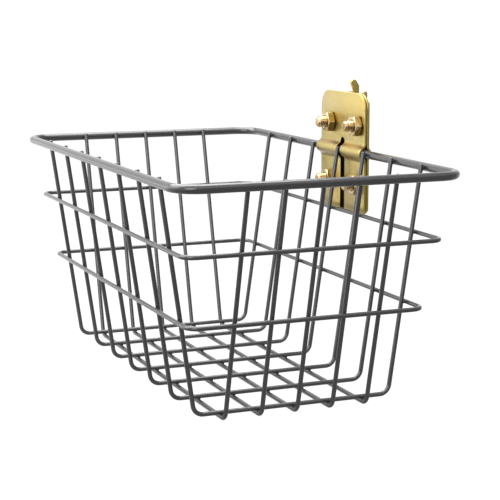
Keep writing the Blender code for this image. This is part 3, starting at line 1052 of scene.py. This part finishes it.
channel_inner = channel_half - channel_sheet
channel_web_back = channel_front + channel_sheet
channel_outline = flat_rounded(
    [
        (-channel_half, 0),
        (-channel_half, channel_front),
        (channel_half, channel_front),
        (channel_half, 0),
        (channel_inner, 0),
        (channel_inner, channel_web_back),
        (-channel_inner, channel_web_back),
        (-channel_inner, 0),
    ],
    [0, channel_bend, channel_bend, 0, 0, bend_inside, bend_inside, 0],
)
channel_mesh = solid_from_outline(
    "welded_channel", channel_outline, 2, channel_low, channel_high, channel_edge_round
)
notch_front = channel_front - cut_overrun
notch_outline = rectangle(notch_front, notch_depth, notch_low, notch_high)
notch = solid_from_outline("notch", notch_outline, 0, -2 * channel_half, 2 * channel_half)
channel_mesh = cut_away(channel_mesh, [notch])
channel = piece_from(channel_mesh, "welded_channel", fitting_zinc, sheet_crease)
on_basket(channel, "gold_zinc", "standoff_channel")


# Hook body: a solid steel bar behind the channel. Its neck sits on the slot's lower edge, its lip
# hangs behind the track, and it is forked and bored from the top for the latch and its spring.
hook_half = 0.0032
hook_front = -0.0049
hook_back = 0.00485
hook_top = 0.02655
hook_seat = -0.02985
hook_lip = -0.03265
hook_nose = 0.0010
hook_edge_round = 0.0003
hook_edge_steps = 3
track_back = 0.0029
fork_half = 0.00105
fork_foot = -0.0266
bore_radius = 0.00225
pin_y = 0.0004
pin_heights = {"guide_pin_upper": 0.0200, "guide_pin_lower": 0.0020}
pin_hole = 0.00165
hole_sides = 40


def rod_mesh(name, radius, length, middle, axis):
    """A plain closed rod along an axis, for cutting a hole."""
    mesh = mesh_of(name, *turned([(radius, -length / 2), (radius, length / 2)], hole_sides))
    quarter = pi / 2
    turns = {"X": Matrix.Rotation(quarter, 4, "Z"), "Z": Matrix.Rotation(quarter, 4, "X")}
    mesh.transform(Matrix.Translation(middle) @ turns[axis])
    return reworked(mesh, turn_faces_out)


hook_outline = [
    (hook_front, hook_top),
    (hook_front, hook_seat),
    (track_back, hook_seat),
    (track_back, hook_lip),
    (hook_back - hook_nose, hook_lip),
    (hook_back, hook_lip + hook_nose),
    (hook_back, hook_top - hook_nose),
    (hook_back - hook_nose, hook_top),
]
hook_mesh = solid_from_outline(
    "hook_bar", hook_outline, 0, -hook_half, hook_half, hook_edge_round, hook_edge_steps
)
fork_top = hook_top + cut_overrun
fork_outline = rectangle(hook_front - cut_overrun, hook_back + cut_overrun, fork_foot, fork_top)
fork = solid_from_outline("fork", fork_outline, 0, -fork_half, fork_half)
bore_length = fork_top - fork_foot
bore_middle = (0, pin_y, fork_foot + bore_length / 2)
hook_cuts = [fork, rod_mesh("bore", bore_radius, bore_length, bore_middle, "Z")]
for height in pin_heights.values():
    hook_cuts.append(rod_mesh("pin_hole", pin_hole, 3 * hook_half, (0, pin_y, height), "X"))
hook = piece_from(cut_away(hook_mesh, hook_cuts), "hook_bar", fitting_zinc, sheet_crease)
on_basket(hook, "gold_zinc", "hook_body")


# Latch: stamped from thicker sheet. Its dog rises behind the slot's upper edge, and the tab over
# the plates is pressed down to draw it back. It slides on two pins.
latch_sheet = 0.0015
latch_edge_round = 0.0002
latch_corners = [
    (-0.0004, -0.0080, 0.0003), (-0.0004, -0.0140, 0.0003), (0.0012, -0.0140, 0.0003),
    (0.0012, -0.0080, 0.0003), (0.0045, -0.0075, 0.0004), (0.0045, 0.03105, 0.0003),
    (0.0037, 0.03185, 0.0003), (0.0029, 0.03185, 0.0002), (0.0029, 0.0295, 0.0003),
    (-0.0003, 0.0295, 0.0003), (-0.0003, 0.03485, 0.0004), (-0.0022, 0.03785, 0.0006),
    (-0.00395, 0.03825, 0.0006), (-0.00515, 0.03685, 0.0005), (-0.0034, 0.03215, 0.0008),
    (-0.0034, 0.0248, 0.0005), (-0.0026, 0.0240, 0.0005), (-0.0026, -0.0075, 0.0004),
]
latch_corner_steps = 5
latch_slot_steps = 12
latch_slot_half = 0.0018
latch_travel = 0.0026


def slot_outline(y, low, high, half):
    upper = arc_points((y, high), half, pi, 0, latch_slot_steps)
    lower = arc_points((y, low), half, 0, -pi, latch_slot_steps)
    return upper + lower


def latch_piece():
    """The latch cut to its corners, each given as (y, z, radius), with a slot for each pin."""
    corners = [(y, z) for y, z, radius in latch_corners]
    radii = [radius for y, z, radius in latch_corners]
    outlines = [flat_rounded(corners, radii, latch_corner_steps)]
    for height in pin_heights.values():
        outlines.append(slot_outline(pin_y, height, height + latch_travel, latch_slot_half))
    mesh = stamped("sliding_latch", outlines, latch_sheet, latch_edge_round)
    for vertex in mesh.vertices:
        y, z, x = vertex.co
        vertex.co = (x, y, z)
    return piece_from(mesh, "sliding_latch", fitting_zinc, sheet_crease)


latch = latch_piece()
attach(latch, "latch")
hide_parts("latch")


# Guide pins: two short plated steel rivets through the hook body, headed on both sides. They run in
# the latch's slots.
pin_radius = 0.0015
pin_head = 0.0024
pin_reach = 0.0035
pin_end = 0.0043
pin_dome = ((0.0006, 0.0), (0.0014, 0.00005), (0.0020, 0.0002), (pin_head, 0.00045))
pin_crease = 40

for node, height in pin_heights.items():
    half = [(radius, pin_end - drop) for radius, drop in pin_dome]
    half += [(pin_head, pin_reach), (pin_radius, pin_reach)]
    profile = half + [(radius, -y) for radius, y in reversed(half)]
    mesh = mesh_of(node + "_rivet", *turned(profile, hole_sides))
    mesh.transform(Matrix.Translation((0, pin_y, height)) @ Matrix.Rotation(pi / 2, 4, "Z"))
    on_basket(piece_from(mesh, node + "_rivet", bolt_finish, pin_crease), "bolt_zinc", node)


# Spring: a small compression coil of bright steel wire in the bore, under the latch. It is squashed
# towards its lower end as the latch goes down.
spring_wire = 0.00025
spring_mean = 0.00175
spring_foot = -0.0263
spring_head = -0.0083
spring_curls = 10.5
spring_points = 24
spring_sides = 12
spring_grey = (0.44, 0.44, 0.45)
spring_dark = (0.30, 0.30, 0.32)
spring_clouds = {"Cloud scale": 400.0}
spring_dark_patches = (0.35, 0.65, 0.0, 0.8)
spring_roughness = (0.3, 0.7, 0.26, 0.38)


def spring_finish():
    made, tree, shader = surface("spring_wire_steel")
    clouds = effect(tree, cloud_and_grain, spring_clouds)
    share = spread(tree, clouds["Cloud"], *spring_dark_patches)
    values = {
        "Base Color": blend_colours(tree, share, spring_grey, spring_dark),
        "Roughness": spread(tree, clouds["Grain"], *spring_roughness),
        "Metallic": 1.0,
    }
    set_inputs(tree, shader, values)
    return made


def spring_path():
    count = round(spring_curls * spring_points)
    low = spring_foot + spring_wire
    high = spring_head - spring_wire
    path = []
    for k in range(count + 1):
        angle = 2 * pi * k / spring_points
        x, y = spring_mean * cos(angle), spring_mean * sin(angle)
        path.append((x, pin_y + y, low + (high - low) * (k / count)))
    return path


spring = wire_piece("coil_spring", spring_path(), spring_wire, spring_sides, spring_finish())
on_basket(spring, "spring_steel", "latch_spring")
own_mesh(spring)


# Studio: a pale floor that glows as an overlit sweep does, a large soft box overhead, and a small
# card and a wide soft light on the left. The air is bright behind and dim in front, with soft
# patches for the wires' highlights. The camera itself meets floor and air as one white.
floor_height = -0.11042
floor_half = 300.0
floor_tone = (0.04, 0.04, 0.04)
floor_roughness = 0.9
floor_glow_along = (-0.20, 0.15, 1.2, 0.40)
floor_glow_left = (-0.75, -0.35, 1.0, 0.0)
floor_seen = 0.96
air_seen = 1.0
air_behind = ((-0.92, -0.38, 0.0), -0.25, 0.5, 0.50, 1.25)
air_left = ((-0.38, -0.92, 0.10), 0.75, 0.95, 0.0, 1.0)
air_high_in_front = ((0.62, 0.0, 0.78), 0.78, 0.92, 0.0, 1.1)
air_beside_camera = ((0.70, -0.62, 0.36), 0.91, 0.98, 0.0, 5.0)
air_overhead = ((0.0, 0.0, 1.0), 0.15, 0.7, 0.0, 0.3)
soft_lights = (
    ("overhead_box", (-0.25, -0.18, 0.60), (0, 0, 1), 15.0, 0.8),
    ("left_card", (-0.50, -0.62, 0.12), (-0.50, -0.70, 0.20), 0.8, 0.5),
)
left_from = (-0.30, -0.80, 0.60)
left_strength = 1.5
left_spread = radians(40.0)
white = (1.0, 1.0, 1.0, 1.0)


def as_seen(tree, strength, seen):
    """The strength for every ray but the camera's own, which meets one even glow."""
    from_camera = node_with(tree, "ShaderNodeLightPath").outputs["Is Camera Ray"]
    values = {0: from_camera, 2: strength, 3: seen}
    return node_with(tree, "ShaderNodeMix", values, data_type="FLOAT").outputs[0]


def floor_finish():
    made, tree, shader = surface("pale_floor")
    x, y = parts_of(tree, object_place(tree))[:2]
    glow = spread(tree, x, *floor_glow_along)
    glow = maths(tree, "ADD", glow, spread(tree, y, *floor_glow_left))
    values = {
        "Base Color": (*floor_tone, 1.0),
        "Roughness": floor_roughness,
        "Specular IOR Level": 0.0,
        "Emission Color": white,
        "Emission Strength": as_seen(tree, glow, floor_seen),
    }
    set_inputs(tree, shader, values)
    return made


def air_patch(tree, direction, begins, full, weak, strong):
    """How strong the air is: weak, or strong where the ray runs close to the direction."""
    ray = node_with(tree, "ShaderNodeTexCoord").outputs["Generated"]
    close = vector_maths(tree, "DOT_PRODUCT", ray, direction)["Value"]
    return spread(tree, close, begins, full, weak, strong)


def studio_air():
    world = bpy.data.worlds.new("studio_air")
    bpy.context.scene.world = world
    world.use_nodes = True
    tree = world.node_tree
    strength = air_patch(tree, *air_behind)
    for patch in (air_left, air_high_in_front, air_beside_camera, air_overhead):
        strength = maths(tree, "ADD", strength, air_patch(tree, *patch))
    values = {"Color": white, "Strength": as_seen(tree, strength, air_seen)}
    set_inputs(tree, tree.nodes["Background"], values)


def lamp(name, kind, place, light_from, energy, **settings):
    """A lamp at a place, turned so that its light comes from the given direction."""
    data = bpy.data.lights.new(name, kind)
    data.energy = energy
    for label, value in settings.items():
        setattr(data, label, value)
    thing = put(name, data)
    thing.location = place
    thing.rotation_euler = Vector(light_from).to_track_quat("Z", "Y").to_euler()


floor_outline = rectangle(-floor_half, floor_half, -floor_half, floor_half)
floor_points = [(x, y, floor_height) for x, y in floor_outline]
floor_mesh = mesh_of("floor", floor_points, [(0, 1, 2, 3)])
floor_mesh.materials.append(floor_finish())
put("floor", floor_mesh)
for name, place, light_from, power, size in soft_lights:
    lamp(name, "AREA", place, light_from, power, shape="SQUARE", size=size)
lamp("left_light", "SUN", (0, 0, 1), left_from, left_strength, angle=left_spread)
studio_air()
bpy.context.scene.view_settings.view_transform = "Standard"


# Camera: it stands where the photograph was taken from, with the same long lens. Both were solved
# from the rim's sides and the straight wires.
camera_place = (0.7039, -0.3562, 0.08135)
camera_azimuth = radians(67.34)
camera_elevation = radians(9.69)
camera_lens = 107.11

eye = put("camera", bpy.data.cameras.new("camera"))
eye.data.lens = camera_lens
eye.data.sensor_width = 36.0
eye.data.clip_start = 0.01
eye.location = camera_place
eye.rotation_euler = (pi / 2 - camera_elevation, 0, camera_azimuth)
bpy.context.scene.camera = eye
